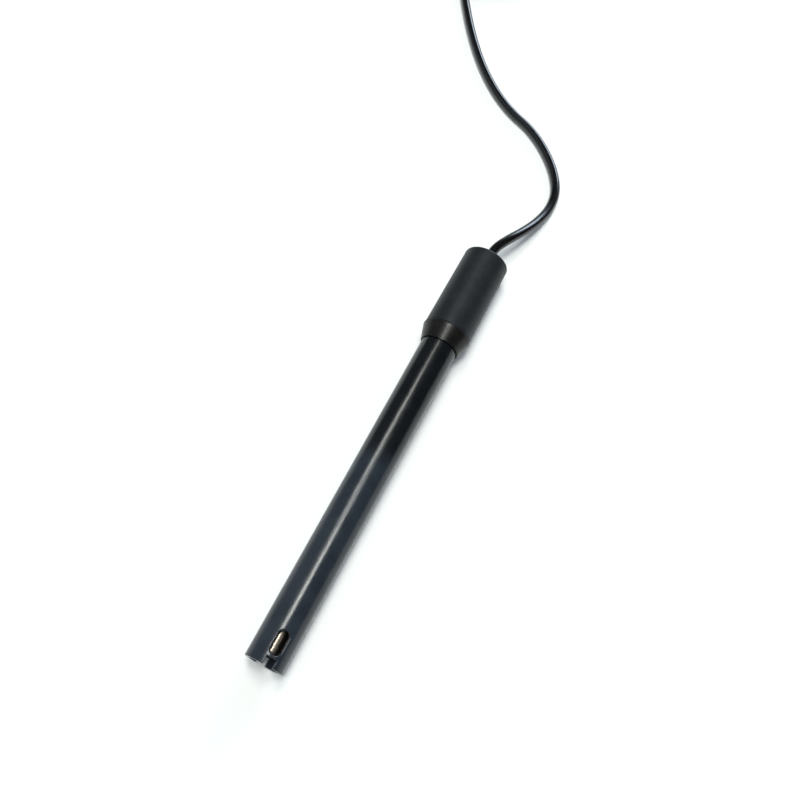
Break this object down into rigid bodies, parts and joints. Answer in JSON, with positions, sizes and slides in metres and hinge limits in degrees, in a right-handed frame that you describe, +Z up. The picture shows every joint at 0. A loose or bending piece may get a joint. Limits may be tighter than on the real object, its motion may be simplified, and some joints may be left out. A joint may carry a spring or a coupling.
{
  "type": "temperature probe",
  "caption": "Straight black temperature probe with a window and a slotted tip that guard a polished sensor sheath, a tapered rubber collar, a moulded cap and a thin cord with a pin plug.",
  "frame": {"origin": "on the surface that the probe lies on, under the middle of the probe without its cord", "axes": "+X from the sensing tip towards the cord, +Z up. The probe rests on its tip and its collar, so its axis rises by 1.1 degrees towards the cord."},
  "size_m": [0.325, 0.0943, 0.0165],
  "materials": {
    "barrel_plastic": "fine satin, slate black",
    "cap_plastic": "satin, black",
    "collar_rubber": "smooth with fine turned lines, black",
    "sheath_steel": "polished stainless steel",
    "cord_jacket": "glossy black",
    "tie_plastic": "semi-gloss black",
    "plug_moulding": "satin black",
    "plug_metal": "bright nickel",
    "plug_insulation": "glossy black",
    "bead_glass": "dark, glassy",
    "resin": "cast resin, dark brown",
    "lead_tube": "fired, cream white",
    "lead_wire": "tinned",
    "bushing_brass": "turned brass",
    "seal_rubber": "smooth black",
    "spacer_plastic": "natural white",
    "splice_copper": "tinned copper, crimped",
    "core_red": "red insulation",
    "core_black": "black insulation",
    "ferrule_steel": "plated steel"
  },
  "bodies": {
    "root": {"barrel": "barrel_plastic", "cap": "cap_plastic", "collar": "collar_rubber", "sensor_sheath": "sheath_steel", "thermistor_bead": "bead_glass", "bead_potting": "resin", "lead_insulator": "lead_tube", "lead_left": "lead_wire", "lead_right": "lead_wire", "sheath_bushing": "bushing_brass", "barrel_o_ring": "seal_rubber", "sheath_o_ring": "seal_rubber", "bushing_potting": "resin", "sheath_spacer": "spacer_plastic", "splice_left": "splice_copper", "splice_right": "splice_copper", "core_left": "core_red", "core_right": "core_black", "barrel_potting": "resin", "cable_tail": "cord_jacket", "cable_ferrule": "ferrule_steel", "cable": "cord_jacket", "cable_coil": "cord_jacket", "cable_end": "cord_jacket", "cable_tie": "tie_plastic", "plug_body": "plug_moulding", "plug_sleeve": "plug_metal", "plug_ring": "plug_insulation", "plug_tip": "plug_metal"}
  },
  "joints": []
}
